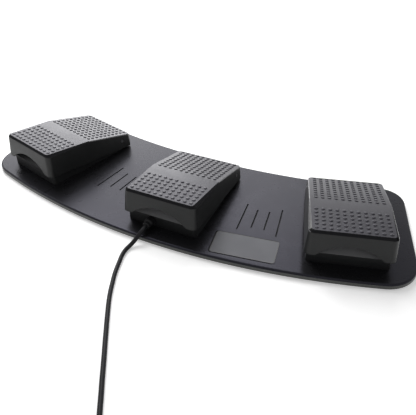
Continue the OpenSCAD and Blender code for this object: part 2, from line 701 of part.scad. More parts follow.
// Cable from the board's socket to the gland, and the gland in the housing's front wall
gland_back = housing_front - housing_wall - gland_flange;
gland_tip_u = housing_front + gland_l;
gland_profile = [
    [0, gland_back],
    [gland_flange_d/2, gland_back],
    [gland_flange_d/2, gland_back + gland_flange],
    [gland_neck_d/2, gland_back + gland_flange],
    [gland_neck_d/2, housing_front],
    [gland_d/2, housing_front],
    [gland_d/2, housing_front + gland_collar_l],
    [gland_tip_d/2, housing_front + gland_collar_l + gland_taper_l],
    [gland_tip_d/2, gland_tip_u - gland_tip_edge],
    [gland_tip_d/2 - gland_tip_edge, gland_tip_u],
    [0, gland_tip_u]];
module along_gland(u) {
    at_pedal(0) translate([-gland_v, -u, gland_z]) rotate([90, 0, 0]) children();
}
module cable_inner() color("#17171a") along_gland(board_u[1])
    cylinder(d = cable_d, h = gland_back - board_u[1]);
module cable_gland() color("#17171a") along_gland(0) rotate_extrude() polygon(gland_profile);

// Free cable, spare coil with its tie, and the lead from the coil's top layer down to the plug
// In each layer the turns step in or out, and in the last half turn the cable climbs to the next layer
function coil_at(a) = let (
        k = min(floor(a/layer_a), coil_layers - 1),
        b = a - k*layer_a,
        s = max(0, (b - 360*coil_turns)/180),
        stepped = min(b, 360*coil_turns)/360*turn_step,
        dip = turn_step/2*s*(1 - s),
        r = k % 2 == 0 ? coil_out - stepped - dip : coil_in + stepped + dip)
    [coil_c[0] + r*cos(coil_start + a), coil_c[1] + r*sin(coil_start + a),
        coil_z + layer_step*(k + ease(s))];
coil_path = straight_ends([for (k = [0:coil_a*coil_rings/360]) coil_at(k*360/coil_rings)], cable_d);
gland_end = [-gland_v, gland_y, plate_top + gland_z];
coil_entry = unit(coil_path[1] - coil_path[0]);
cable_path = concat(
    [gland_end, gland_end - [0, cable_d/2, 0]],
    cable_route,
    [coil_path[0] - cable_d*coil_entry, coil_path[0]]);
module cable() color("#17171a") swept_tube(cable_path, cable_d/2, cable_sides);
module cable_coil() color("#17171a") {
    echo(coil_gap = least_gap(coil_path, cable_d, coil_rings/2));
    swept_tube(coil_path, cable_d/2, coil_sides);
}
function wrap_at(s) = let (
        a = coil_start + coil_a + wrap_a*s,
        r = coil_out + wrap_step*ease(min(1, s/wrap_out)),
        drop = (coil_top_z - plug_z)*ease(max(0, (s - wrap_drop)/(1 - wrap_drop))))
    [coil_c[0] + r*cos(a), coil_c[1] + r*sin(a), coil_top_z - drop];
coil_end = coil_path[len(coil_path) - 1];
coil_exit = unit(coil_end - coil_path[len(coil_path) - 2]);
relief_end = [plug_x - plug_relief_l, plug_y, plug_z];
plug_lead_path = concat(
    [coil_end, coil_end + cable_d*coil_exit],
    [for (k = [2:wrap_rings]) wrap_at(k/wrap_rings)],
    [relief_end - [cable_d, 0, 0], relief_end]);
module plug_lead() color("#17171a") swept_tube(plug_lead_path, cable_d/2, cable_sides);
module coil_tie() color("#2a2a2d") {
    dip = turn_step/8;
    inner_w = coil_out - coil_in + 2*dip + cable_d + 2*tie_gap;
    inner_h = layer_step*(coil_layers - 1) + cable_d + 2*tie_gap;
    translate([coil_c[0], coil_c[1], 0])
        rotate([0, 0, tie_a])
            translate([coil_r, tie_w/2, (coil_z + coil_top_z)/2])
                rotate([90, 0, 0]) linear_extrude(tie_w) difference() {
                    soft_square(inner_w + 2*tie_t, inner_h + 2*tie_t, tie_corner_r);
                    soft_square(inner_w, inner_h, tie_corner_r - tie_t);
                }
}

// Plug: moulded body with a strain relief, metal shell, tongue and contacts
module along_plug(x) {
    translate([plug_x + x, plug_y, plug_z]) rotate([90, 0, 90]) children();
}
module plug_overmould() color("#17171a") difference() {
    union() {
        along_plug(0) linear_extrude(plug_body[0]) soft_square(plug_body[1], plug_body[2], plug_corner_r);
        along_plug(-plug_relief_l) rotate_extrude() polygon([
            [0, 0], [plug_relief_d/2 - relief_edge, 0], [plug_relief_d/2, relief_edge],
            [relief_root_r, plug_relief_l], [relief_root_r, plug_relief_l + relief_sink],
            [0, plug_relief_l + relief_sink]]);
    }
    grip_h = plug_body[2] - 2*plug_corner_r;
    for (m = [0, 1]) translate([plug_x, plug_y, plug_z]) mirror([0, m, 0])
        for (k = [0:grip_count - 1])
            translate([grip_from + grip_step*k, plug_body[1]/2 - grip_depth, -grip_h/2])
                cube([grip_w, 2*grip_depth, grip_h]);
}
module plug_shell() color("#c4c7cc") along_plug(plug_body[0]) linear_extrude(shell_l) difference() {
    soft_square(shell_w, shell_h, shell_corner_r);
    soft_square(shell_w - 2*shell_t, shell_h - 2*shell_t, shell_corner_r - shell_t);
}
module plug_tongue() color("#e7e7e3") translate([plug_x + plug_body[0], plug_y - tongue_w/2, tongue_z])
    cube([tongue_l, tongue_w, tongue_t]);
module plug_contacts() color("#c9a24a") for (y = contact_at)
    translate([plug_x + plug_body[0] + contact_inset, plug_y + y - contact_w/2, tongue_z - contact_t])
        cube([contact_l, contact_w, contact_t]);

base_plate();
bottom_sheet();
sheet_screws();
rubber_feet();
housing(-1);  // housing_left
housing(0);  // housing_centre
housing(1);  // housing_right
housing_screws();
hinge_pin(-1);  // hinge_pin_left
hinge_pin(0);  // hinge_pin_centre
hinge_pin(1);  // hinge_pin_right
pedal_cover(-1);  // pedal_cover_left
pedal_cover(0);  // pedal_cover_centre
pedal_cover(1);  // pedal_cover_right
return_spring(-1);  // return_spring_left
return_spring(0);  // return_spring_centre
return_spring(1);  // return_spring_right
switch_body(-1);  // switch_body_left
switch_body(0);  // switch_body_centre
switch_body(1);  // switch_body_right
switch_plunger(-1);  // switch_plunger_left
switch_plunger(0);  // switch_plunger_centre
switch_plunger(1);  // switch_plunger_right
switch_terminals();
controller_board();
board_parts();
board_screws();
lead(-1);  // lead_left
lead(1);  // lead_right
lead_centre();
cable_inner();
cable_gland();
cable();
cable_coil();
plug_lead();
coil_tie();
plug_overmould();
plug_shell();
plug_tongue();
plug_contacts();
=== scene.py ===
# %% [markdown]
# # A triple foot pedal switch
# Three rocking pedals stand fanned out on an arc-shaped plate, and a thin cable leaves the
# middle one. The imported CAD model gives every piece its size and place. This notebook dresses it:
# it remodels the shells that carry the look, gives every surface a procedural finish, and sets
# a plain studio with the camera where the photograph was taken.

# %% Load the frame
import json
from math import asin, atan, atan2, cos, pi, radians, sin

import bmesh
import bpy
from mathutils import Matrix, Quaternion, Vector


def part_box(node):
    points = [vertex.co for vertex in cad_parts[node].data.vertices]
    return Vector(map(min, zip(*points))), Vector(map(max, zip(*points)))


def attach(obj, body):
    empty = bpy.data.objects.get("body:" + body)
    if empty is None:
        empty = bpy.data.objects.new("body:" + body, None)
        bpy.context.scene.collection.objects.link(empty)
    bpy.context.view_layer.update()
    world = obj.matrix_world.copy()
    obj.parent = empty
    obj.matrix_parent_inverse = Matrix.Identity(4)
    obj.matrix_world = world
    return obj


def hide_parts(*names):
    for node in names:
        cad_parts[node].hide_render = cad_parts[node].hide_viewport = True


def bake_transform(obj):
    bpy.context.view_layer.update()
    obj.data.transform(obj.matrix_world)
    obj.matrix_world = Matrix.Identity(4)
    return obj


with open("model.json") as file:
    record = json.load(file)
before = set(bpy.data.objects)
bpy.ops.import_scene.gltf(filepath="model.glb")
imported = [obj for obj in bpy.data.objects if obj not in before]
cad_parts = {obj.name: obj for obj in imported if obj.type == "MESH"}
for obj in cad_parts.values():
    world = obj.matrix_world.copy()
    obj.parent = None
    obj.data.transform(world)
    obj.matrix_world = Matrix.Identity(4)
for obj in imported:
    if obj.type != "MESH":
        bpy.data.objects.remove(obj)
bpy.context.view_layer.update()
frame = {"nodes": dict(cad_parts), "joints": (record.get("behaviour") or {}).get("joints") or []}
nodes = frame["nodes"]
joints = {joint["name"]: joint for joint in frame["joints"]}
MM = 0.001
SIDES = ("left", "centre", "right")

# %% [markdown]
# ## Camera
# The photograph looks down on the pedals from the front right. A camera could be placed by hand,
# but its angles, distance and lens were worked out from the pedals' own corners, so they are
# written here as an azimuth, an elevation, a small roll and a distance from one point.

# %% Camera
VIEW_TARGET = Vector((20.127, -11.093, 0.146)) * MM
VIEW_AZIMUTH = radians(25.264)
VIEW_ELEVATION = radians(37.809)
VIEW_ROLL = radians(-0.291)
VIEW_DISTANCE = 445.82 * MM
LENS_MM = 43.521
SENSOR_MM = 36.0
CLIP_START = 10 * MM

lens = bpy.data.cameras.new("photo_camera")
lens.lens = LENS_MM
lens.sensor_width = SENSOR_MM
lens.sensor_fit = "HORIZONTAL"
lens.clip_start = CLIP_START
camera = bpy.data.objects.new("photo_camera", lens)
bpy.context.scene.collection.objects.link(camera)
level = cos(VIEW_ELEVATION)
back = Vector((sin(VIEW_AZIMUTH) * level, -cos(VIEW_AZIMUTH) * level, sin(VIEW_ELEVATION)))
camera.location = VIEW_TARGET + back * VIEW_DISTANCE
camera.rotation_mode = "QUATERNION"
roll = Quaternion((0, 0, 1), VIEW_ROLL)
camera.rotation_quaternion = (-back).to_track_quat("-Z", "Y") @ roll
bpy.context.scene.camera = camera
print("camera at", [round(x, 3) for x in camera.location])

# %% [markdown]
# ## Cable
# The cable is thin and limp. It leaves its gland, drops over the plate's edge, runs along the
# floor in one lazy bend, and the length that the photograph doesn't show is wound into a small
# coil. A sculpted tube would hide its length, so it is one smooth curve with a round section:
# the free part follows listed points, and the coil's turns come from a loop.

# %% Cable route, in millimetres
CABLE_D = 3.5
GLAND_END = Vector((-9.0, -68.038, 11.5))
FREE_ROUTE = [
    (-9.2, -72, 11.1), (-9.8, -74.6, 10), (-10.8, -77.2, 8), (-12, -79.6, 5.8),
    (-13.2, -82.2, 3.8), (-14.4, -85.2, 2.4), (-15.2, -90, 1.8), (-14.3, -97, 1.75),
    (-12.5, -103, 1.75), (-10.4, -110, 1.75), (-8, -117, 1.75), (-5, -124, 1.75),
    (-1.5, -132, 1.75), (2.5, -140, 1.75), (7, -148, 1.75), (11.6, -156, 1.75),
    (16.3, -164, 1.75), (21, -172, 1.75), (25.8, -180, 1.75), (30.5, -188, 1.75),
    (35.2, -196, 1.75), (40, -204, 1.75), (44.7, -212, 1.75), (49.5, -220, 1.75),
    (54.2, -228, 1.8), (58.9, -236, 2.1), (63.6, -244, 2.6), (67.2, -250, 3)]
COIL_CENTRE = (94.5, -248.5)
COIL_START = 210.5
COIL_TURNS = 2.75
COIL_LAYERS = 4
COIL_R = 18.5
COIL_Z = 3.15
TURN_STEP = 4.3
LAYER_STEP = 4.1
RINGS_PER_TURN = 24
CLIMB_ANGLE = 180
LAYER_ANGLE = 360 * COIL_TURNS + CLIMB_ANGLE
COIL_ANGLE = LAYER_ANGLE * COIL_LAYERS - CLIMB_ANGLE
COIL_OUT = COIL_R + TURN_STEP * COIL_TURNS / 2
COIL_IN = COIL_R - TURN_STEP * COIL_TURNS / 2


def ease(s):
    """A smooth step from 0 to 1."""
    return s * s * (3 - 2 * s)


def round_coil(angle, radius, height):
    """A point at that angle about the coil's centre."""
    a = radians(angle)
    return Vector((COIL_CENTRE[0] + radius * cos(a), COIL_CENTRE[1] + radius * sin(a), height))


def coil_point(turned):
    """A point of the coil: layers step in and out by turns, and climb in the half turn between."""
    layer = min(int(turned // LAYER_ANGLE), COIL_LAYERS - 1)
    along = turned - layer * LAYER_ANGLE
    climb = max(0, (along - 360 * COIL_TURNS) / CLIMB_ANGLE)
    stepped = min(along, 360 * COIL_TURNS) / 360 * TURN_STEP + TURN_STEP / 2 * climb * (1 - climb)
    radius = COIL_OUT - stepped if layer % 2 == 0 else COIL_IN + stepped
    return round_coil(COIL_START + turned, radius, COIL_Z + LAYER_STEP * (layer + ease(climb)))


print("coil of", COIL_LAYERS, "layers,", round(2 * COIL_OUT + CABLE_D, 1), "mm across")

# %% Cable curve
WRAP_GAP = 1.4
WRAP_STEP = CABLE_D + WRAP_GAP
WRAP_RINGS = 22
WRAP_FIRST = 2
WRAP_OUT = 0.45
WRAP_DROP = 0.3
PLUG_Z = 4
PLUG_RELIEF_X = 106.5
COIL_TOP = COIL_Z + LAYER_STEP * (COIL_LAYERS - 1)
WRAP_ANGLE = 270 - (COIL_START + COIL_ANGLE) % 360


def wrap_point(s):
    """A point of the lead that comes down round the coil to the plug, s from 0 to 1."""
    out = COIL_OUT + WRAP_STEP * ease(min(1, s / WRAP_OUT))
    drop = (COIL_TOP - PLUG_Z) * ease(max(0, (s - WRAP_DROP) / (1 - WRAP_DROP)))
    return round_coil(COIL_START + COIL_ANGLE + WRAP_ANGLE * s, out, COIL_TOP - drop)


ring_angle = 360 / RINGS_PER_TURN
coil = [coil_point(k * ring_angle) for k in range(int(COIL_ANGLE / ring_angle) + 1)]
way_in = (coil[1] - coil[0]).normalized() * CABLE_D
way_out = (coil[-1] - coil[-2]).normalized() * CABLE_D
plug_lead = [wrap_point(k / WRAP_RINGS) for k in range(WRAP_FIRST, WRAP_RINGS + 1)]
relief = Vector((PLUG_RELIEF_X, plug_lead[-1].y, PLUG_Z))
cord_points = [
    GLAND_END, GLAND_END - Vector((0, CABLE_D / 2, 0)),
    *[Vector(p) for p in FREE_ROUTE],
    coil[0] - 2 * way_in, coil[0] - way_in, *coil, coil[-1] + way_out, coil[-1] + 2 * way_out,
    *plug_lead, relief - Vector((CABLE_D, 0, 0)), relief]

line = bpy.data.curves.new("cable_cord", "CURVE")
line.dimensions = "3D"
line.bevel_depth = 1
line.bevel_resolution = 4
line.resolution_u = 4
line.use_fill_caps = True
spline = line.splines.new("BEZIER")
spline.bezier_points.add(len(cord_points) - 1)
for knot, point in zip(spline.bezier_points, cord_points):
    knot.handle_left_type = "AUTO"
    knot.handle_right_type = "AUTO"
    knot.co = point * MM
    knot.radius = CABLE_D / 2 * MM
cord = bpy.data.objects.new("cable_cord", line)
bpy.context.scene.collection.objects.link(cord)
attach(cord, "base")
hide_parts("cable", "cable_coil", "plug_lead")
print("cable", round(spline.calc_length(), 4), "m through", len(cord_points), "points")

# %% [markdown]
# ## Shared effects
# A moulded plastic is never one flat colour: its skin has a fine grain, its tone drifts a little,
# and handling polishes it in patches. Each of those is needed by many finishes, so each is
# a node group with named sockets, built once and placed in each material with its own values.

# %% Grain and wear groups
def new_group(name, inputs, outputs):
    """An empty shader group with float or vector inputs and float outputs."""
    group = bpy.data.node_groups.new(name, "ShaderNodeTree")
    for label, kind in inputs:
        group.interface.new_socket(label, in_out="INPUT", socket_type=kind)
    for label in outputs:
        group.interface.new_socket(label, in_out="OUTPUT", socket_type="NodeSocketFloat")
    return group, group.nodes.new("NodeGroupInput"), group.nodes.new("NodeGroupOutput")


def add(tree, kind, **values):
    """A new node with the given sockets set; a socket as value is linked."""
    made = tree.nodes.new(kind)
    for label, value in values.items():
        socket = made.inputs[label.replace("_", " ")]
        if isinstance(value, bpy.types.NodeSocket):
            tree.links.new(value, socket)
        else:
            socket.default_value = value
    return made


VECTOR, FLOAT = "NodeSocketVector", "NodeSocketFloat"
grain_group, given, result = new_group(
    "moulded_grain", [("Vector", VECTOR), ("Scale", FLOAT), ("Tone Scale", FLOAT)], ["Height", "Tone"])
fine = add(grain_group, "ShaderNodeTexNoise", Vector=given.outputs["Vector"],
           Scale=given.outputs["Scale"], Detail=3.0, Roughness=0.6)
drift = add(grain_group, "ShaderNodeTexNoise", Vector=given.outputs["Vector"],
            Scale=given.outputs["Tone Scale"], Detail=2.0, Roughness=0.5)
grain_group.links.new(fine.outputs["Fac"], result.inputs["Height"])
grain_group.links.new(drift.outputs["Fac"], result.inputs["Tone"])

wear_group, given, result = new_group("handling_marks", [("Vector", VECTOR), ("Scale", FLOAT)], ["Mask"])
patches = add(wear_group, "ShaderNodeTexNoise", Vector=given.outputs["Vector"],
              Scale=given.outputs["Scale"], Detail=4.0, Roughness=0.65, Distortion=0.4)
clear = add(wear_group, "ShaderNodeMapRange", Value=patches.outputs["Fac"],
            From_Min=0.42, From_Max=0.68)
wear_group.links.new(clear.outputs["Result"], result.inputs["Mask"])
print("groups", [g.name for g in bpy.data.node_groups])

# %% [markdown]
# ## Finishes
# One function lays down a moulded finish: colour drifts between two near tones, handling marks
# change the gloss, and the grain feeds a bump. Metals share a second function with fine streaks,
# and a third lays a paler tone on slopes that look upwards, as painted light. Whatever is the same
# all over the piece is set straight on the shader.

# %% Finish functions
COLOR_A, COLOR_B, COLOR_OUT = 6, 7, 2
GRAIN_DEPTH = 0.0002
STREAKS_X = (60.0, 900.0, 900.0)
STREAKS_Y = (900.0, 60.0, 900.0)
# How far a face must look upwards before the painted light on slopes fades in, and where it is full.
LIGHT_STARTS, LIGHT_FULL = 0.3, 0.6


def blank_finish(name):
    """A material with its Principled shader and an Object coordinate."""
    material = bpy.data.materials.new(name)
    material.use_nodes = True
    tree = material.node_tree
    return material, tree, tree.nodes["Principled BSDF"], tree.nodes.new("ShaderNodeTexCoord")


def tone_pair(tree, shader, factor, color, spread):
    """Feeds Base Color from two near tones of one colour."""
    mix = tree.nodes.new("ShaderNodeMix")
    mix.data_type = "RGBA"
    tree.links.new(factor, mix.inputs["Factor"])
    mix.inputs[COLOR_A].default_value = (*[c * (1 - spread) for c in color], 1)
    mix.inputs[COLOR_B].default_value = (*[c * (1 + spread) for c in color], 1)
    tree.links.new(mix.outputs[COLOR_OUT], shader.inputs["Base Color"])


def moulding(name, color, gloss, grain=1400.0, bump=0.12, spread=0.12, marks=60.0, specular=0.5,
             tint=(1.0, 1.0, 1.0)):
    """Moulded plastic or rubber: gloss is its roughness where it is fresh and where it is rubbed."""
    material, tree, shader, place = blank_finish(name)
    skin = tree.nodes.new("ShaderNodeGroup")
    skin.node_tree = grain_group
    skin.inputs["Scale"].default_value = grain
    skin.inputs["Tone Scale"].default_value = marks
    rubbed = tree.nodes.new("ShaderNodeGroup")
    rubbed.node_tree = wear_group
    rubbed.inputs["Scale"].default_value = marks
    for group in (skin, rubbed):
        tree.links.new(place.outputs["Object"], group.inputs["Vector"])
    tone_pair(tree, shader, skin.outputs["Tone"], color, spread)
    sheen = add(tree, "ShaderNodeMapRange", Value=rubbed.outputs["Mask"],
                To_Min=gloss[0], To_Max=gloss[1])
    tree.links.new(sheen.outputs["Result"], shader.inputs["Roughness"])
    relief_node = add(tree, "ShaderNodeBump", Strength=bump, Distance=GRAIN_DEPTH,
                      Height=skin.outputs["Height"])
    tree.links.new(relief_node.outputs["Normal"], shader.inputs["Normal"])
    shader.inputs["Specular IOR Level"].default_value = specular
    shader.inputs["Specular Tint"].default_value = (*tint, 1)
    return material


def metal(name, color, gloss, streak=STREAKS_Y, spread=0.08):
    """Bare metal with fine streaks in its gloss and a little drift in its colour."""
    material, tree, shader, place = blank_finish(name)
    stretch = add(tree, "ShaderNodeMapping", Vector=place.outputs["Object"], Scale=streak)
    lines = add(tree, "ShaderNodeTexNoise", Vector=stretch.outputs["Vector"], Scale=1.0, Detail=3.0)
    tone_pair(tree, shader, lines.outputs["Fac"], color, spread)
    sheen = add(tree, "ShaderNodeMapRange", Value=lines.outputs["Fac"], To_Min=gloss[0], To_Max=gloss[1])
    tree.links.new(sheen.outputs["Result"], shader.inputs["Roughness"])
    shader.inputs["Metallic"].default_value = 1.0
    return material


def paint_light_on_slopes(material, color):
    """Lays a paler tone on the faces that look upwards, as painted light."""
    tree = material.node_tree
    into = tree.nodes["Principled BSDF"].inputs["Base Color"]
    facing = tree.nodes.new("ShaderNodeNewGeometry")
    parts = add(tree, "ShaderNodeSeparateXYZ", Vector=facing.outputs["Normal"])
    upward = add(tree, "ShaderNodeMapRange", Value=parts.outputs["Z"],
                 From_Min=LIGHT_STARTS, From_Max=LIGHT_FULL)
    mix = tree.nodes.new("ShaderNodeMix")
    mix.data_type = "RGBA"
    tree.links.new(upward.outputs["Result"], mix.inputs["Factor"])
    tree.links.new(into.links[0].from_socket, mix.inputs[COLOR_A])
    mix.inputs[COLOR_B].default_value = (*color, 1)
    tree.links.new(mix.outputs[COLOR_OUT], into)


# %% The object's finishes
plate_finish = moulding("plate_satin_black", (0.012, 0.012, 0.013), (0.3, 0.25), grain=2200.0, bump=0.015,
                        specular=0.17, tint=(0.74, 0.73, 1.0))
# The plate's walls are the same black moulding in a lighter tone: painted reflection of the pale floor.
wall_light_finish = moulding("plate_wall_painted_light", (0.098, 0.101, 0.096), (0.45, 0.38), specular=0.3)
# A darker finish for the walls of cuts: painted shade in the grooves and the recess.
groove_shade_finish = moulding("groove_painted_shade", (0.005, 0.005, 0.006), (0.6, 0.55), specular=0.15)
tread_finish = moulding("tread_grey", (0.037, 0.036, 0.041), (0.34, 0.29), grain=2600.0, bump=0.06,
                        specular=0.165, tint=(0.8, 0.79, 1.0))
band_finish = moulding("band_black", (0.022, 0.022, 0.024), (0.5, 0.45), bump=0.01, specular=0.01)
# A darker copy of the chamfer's black: painted shade on the right pedal's right front chamfer.
painted_shade_finish = moulding("band_painted_shade", (0.006, 0.006, 0.007), (0.5, 0.45), bump=0.01, specular=0.01)
sheen_finish = moulding("band_sheen", (0.004, 0.004, 0.005), (0.16, 0.12), bump=0.01, specular=0.12)
# A pale finish for edges and strips of the covers: a painted highlight.
highlight_finish = moulding("edge_painted_highlight", (0.16, 0.16, 0.168), (0.26, 0.22), bump=0.02, specular=0.3)
skirt_finish = moulding("skirt_dark", (0.013, 0.0137, 0.0139), (0.46, 0.4), bump=0.06, specular=0.3)
HOUSING_BLACK = (0.009, 0.0095, 0.01)
housing_finish = moulding("housing_dark", HOUSING_BLACK, (0.5, 0.44), bump=0.06, specular=0.25)
# The centre and right housings carry painted light: a paler tone on faces that look upwards.
slope_light_finish = moulding("housing_painted_light", HOUSING_BLACK, (0.5, 0.44), bump=0.06, specular=0.25)
paint_light_on_slopes(slope_light_finish, (0.15, 0.151, 0.155))
label_finish = moulding("label_film", (0.066, 0.068, 0.08), (0.42, 0.36), bump=0.02, specular=0.25)
rim_finish = moulding("label_rim", (0.03, 0.03, 0.034), (0.42, 0.36), bump=0.02, specular=0.4)
sheet_finish = moulding("sheet_black", (0.012, 0.012, 0.013), (0.55, 0.48))
rubber_finish = moulding("foot_rubber", (0.012, 0.012, 0.012), (0.8, 0.7), grain=900.0, bump=0.3)
jacket_finish = moulding("cable_jacket", (0.014, 0.014, 0.016), (0.45, 0.38), grain=1800.0, bump=0.05,
                         specular=0.12)
gland_finish = moulding("gland_rubber", (0.009, 0.009, 0.01), (0.5, 0.44), bump=0.1, specular=0.15)
tie_finish = moulding("tie_strap", (0.025, 0.025, 0.027), (0.6, 0.52))
plug_finish = moulding("plug_overmould", (0.012, 0.012, 0.013), (0.5, 0.42), bump=0.15)
tongue_finish = moulding("tongue_white", (0.75, 0.75, 0.72), (0.4, 0.34), spread=0.03)
switch_finish = moulding("switch_phenolic", (0.05, 0.05, 0.053), (0.5, 0.42))
plunger_finish = moulding("plunger_red", (0.42, 0.05, 0.04), (0.35, 0.3))
board_finish = moulding("board_green", (0.02, 0.13, 0.05), (0.35, 0.3), spread=0.2, marks=300.0)
chip_finish = moulding("chip_epoxy", (0.02, 0.02, 0.021), (0.55, 0.5))
lead_finish = moulding("lead_red", (0.28, 0.05, 0.05), (0.4, 0.35))
screw_finish = metal("screw_zinc", (0.55, 0.56, 0.58), (0.28, 0.42))
pin_finish = metal("pin_steel", (0.25, 0.25, 0.26), (0.3, 0.4), STREAKS_X)
spring_finish = metal("spring_steel", (0.6, 0.61, 0.63), (0.2, 0.32))
shell_finish = metal("plug_nickel", (0.72, 0.73, 0.75), (0.16, 0.26), STREAKS_X)
brass_finish = metal("terminal_brass", (0.62, 0.45, 0.16), (0.25, 0.38))
gold_finish = metal("contact_gold", (0.75, 0.56, 0.2), (0.2, 0.3))
print(len(bpy.data.materials), "materials")

# %% Finishes of the CAD nodes that stay
cad_finishes = {
    "bottom_sheet": sheet_finish, "sheet_screws": screw_finish, "rubber_feet": rubber_finish,
    "housing_screws": screw_finish, "switch_terminals": brass_finish, "controller_board": board_finish,
    "board_parts": chip_finish, "board_screws": screw_finish, "lead_left": lead_finish,
    "lead_right": lead_finish, "lead_centre": lead_finish, "cable_inner": jacket_finish,
    "cable_gland": gland_finish, "coil_tie": tie_finish, "plug_overmould": plug_finish,
    "plug_shell": shell_finish, "plug_tongue": tongue_finish, "plug_contacts": gold_finish}
for side in SIDES:
    # The left housing stays plain; the others get painted light on their upward slopes.
    cad_finishes[f"housing_{side}"] = housing_finish if side == "left" else slope_light_finish
    cad_finishes[f"hinge_pin_{side}"] = pin_finish
    cad_finishes[f"switch_body_{side}"] = switch_finish
    cad_finishes[f"switch_plunger_{side}"] = plunger_finish
for name, finish in cad_finishes.items():
    nodes[name].data.materials.clear()
    nodes[name].data.materials.append(finish)
cord.data.materials.append(jacket_finish)
print(len(cad_finishes), "CAD nodes dressed")

# %% [markdown]
# ## Making pieces
# Every new piece is drawn in millimetres with bmesh operators and then moved once, as a mesh, to
# its place in the frame. A pedal's own frame comes from its hinge: x runs across the pedal,
# y from its rear end backwards, and z up from the plate.

# %% Piece helpers
PIN_U = 12
PIN_Z = 10.4
PLATE_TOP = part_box("base_plate")[1].z / MM


def pedal_place(side):
    """The matrix from a pedal's own frame to the row frame, in metres."""
    hinge = joints[f"pedal_{side}_hinge"]
    turn = Matrix.Rotation(atan2(hinge["axis"][1], hinge["axis"][0]), 4, "Z")
    shift = Matrix.Translation(Vector((0, PIN_U, -PIN_Z)) * MM)
    return Matrix.Translation(Vector(hinge["pos_m"])) @ turn @ shift


def to_piece(bm, name, place=Matrix.Identity(4), finishes=()):
    """Turns a bmesh in millimetres into a piece in metres, at its place."""
    bm.transform(place @ Matrix.Scale(MM, 4))
    mesh = bpy.data.meshes.new(name)
    bm.to_mesh(mesh)
    bm.free()
    for finish in finishes:
        mesh.materials.append(finish)
    piece = bpy.data.objects.new(name, mesh)
    bpy.context.scene.collection.objects.link(piece)
    return piece


def combine(piece, tool, operation):
    """Cuts a tool out of a piece, or joins it to the piece, and removes the tool."""
    step = piece.modifiers.new("cut", "BOOLEAN")
    step.operation = operation
    step.solver = "EXACT"
    step.object = tool
    graph = bpy.context.evaluated_depsgraph_get()
    made = bpy.data.meshes.new_from_object(piece.evaluated_get(graph))
    piece.modifiers.clear()
    piece.data = made
    bpy.data.objects.remove(tool)


def soften(piece, width, angle=32, segments=2):
    """Rounds the sharp edges a little and shades the rest smooth."""
    piece.data.shade_smooth()
    round_off = piece.modifiers.new("soft_edges", "BEVEL")
    round_off.limit_method = "ANGLE"
    round_off.angle_limit = radians(angle)
    round_off.width = width * MM
    round_off.segments = segments
    round_off.use_clamp_overlap = False
    weigh = piece.modifiers.new("flat_faces", "WEIGHTED_NORMAL")
    weigh.keep_sharp = True


def all_geometry(bm):
    """Everything in a bmesh, as operators want it."""
    return bm.verts[:] + bm.edges[:] + bm.faces[:]


def only_verts(geometry):
    """The vertices among what an operator gives back."""
    return [g for g in geometry if isinstance(g, bmesh.types.BMVert)]


def raise_faces(bm, by):
    """Extrudes all faces by a vector and turns the normals outwards."""
    raised = bmesh.ops.extrude_face_region(bm, geom=bm.faces[:])
    bmesh.ops.translate(bm, vec=by, verts=only_verts(raised["geom"]))
    bmesh.ops.recalc_face_normals(bm, faces=bm.faces)


def rounded_plate(width, depth, height, radius, steps=6):
    """A flat bar with round upright corners, centred, standing on z = 0."""
    bm = bmesh.new()
    bmesh.ops.create_grid(bm, x_segments=1, y_segments=1, size=0.5)
    bmesh.ops.scale(bm, vec=(width, depth, 1), verts=bm.verts)
    bmesh.ops.bevel(bm, geom=bm.verts[:], offset=radius, offset_type="OFFSET", segments=steps,
                    profile=0.5, affect="VERTICES", material=-1, clamp_overlap=True)
    raise_faces(bm, (0, 0, height))
    return bm


print("plate top at", round(PLATE_TOP, 2), "mm")

# %% [markdown]
# ## Base plate
# The plate is one satin black moulding with a soft top edge. A polygon traced from above would
# work, but the outline is really six arcs: one vertex is spun about each arc's centre in turn,
# the half is mirrored, and the closed line is filled, raised and bevelled. Underneath it is
# hollow, so its lower face is inset and pushed up.

# %% Plate sizes, in millimetres
ARC_R = 580
PLATE_DEPTH = 128.5
END_SLANT = 15
FRONT_CORNER_R = 27
REAR_CORNER_R = 20
EDGE_R = 1.5
LOW_EDGE = 0.4
RIM_W = 8
HOLLOW_H = 2.8
HOLLOW_DRAFT = 0.01
TOUCHING = 0.001
UPRIGHT = 0.1
DOWNWARD = -0.9
plate_low, plate_high = [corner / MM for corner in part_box("base_plate")]
slant = Vector((cos(radians(END_SLANT)), sin(radians(END_SLANT)), 0))
near_turn = asin((plate_high.x - FRONT_CORNER_R) / (ARC_R - FRONT_CORNER_R))
front_mid = Vector((0, plate_low.y, plate_low.z))
front_centre = front_mid + Vector((0, ARC_R, 0))
rear_centre = front_centre + Vector((0, PLATE_DEPTH, 0))


def on_arc(centre, radius, turn):
    """A point of an arc, its angle counted from the arc's front middle."""
    return centre + radius * Vector((sin(turn), -cos(turn), 0))


near_corner = on_arc(front_centre, ARC_R - FRONT_CORNER_R, near_turn)
end_reach = (near_corner - rear_centre).dot(slant) + FRONT_CORNER_R - REAR_CORNER_R
far_turn = radians(END_SLANT) + asin(end_reach / (ARC_R + REAR_CORNER_R))
far_corner = on_arc(rear_centre, ARC_R + REAR_CORNER_R, far_turn)
print("plate", [round(x, 1) for x in plate_high - plate_low], "mm")

# %% Plate outline and body
ARC_STEPS = 40
CORNER_STEPS = 12
GROOVE_SLOT, WALL_SLOT = 1, 2


def spin_on(bm, vert, centre, angle, steps):
    """Carries a line on from its last vertex, round a centre, and gives the new last vertex."""
    turned = bmesh.ops.spin(bm, geom=[vert], cent=centre, axis=(0, 0, 1), dvec=(0, 0, 0),
                            angle=angle, steps=steps, use_merge=False, use_duplicate=False)
    return only_verts(turned["geom_last"])[0]


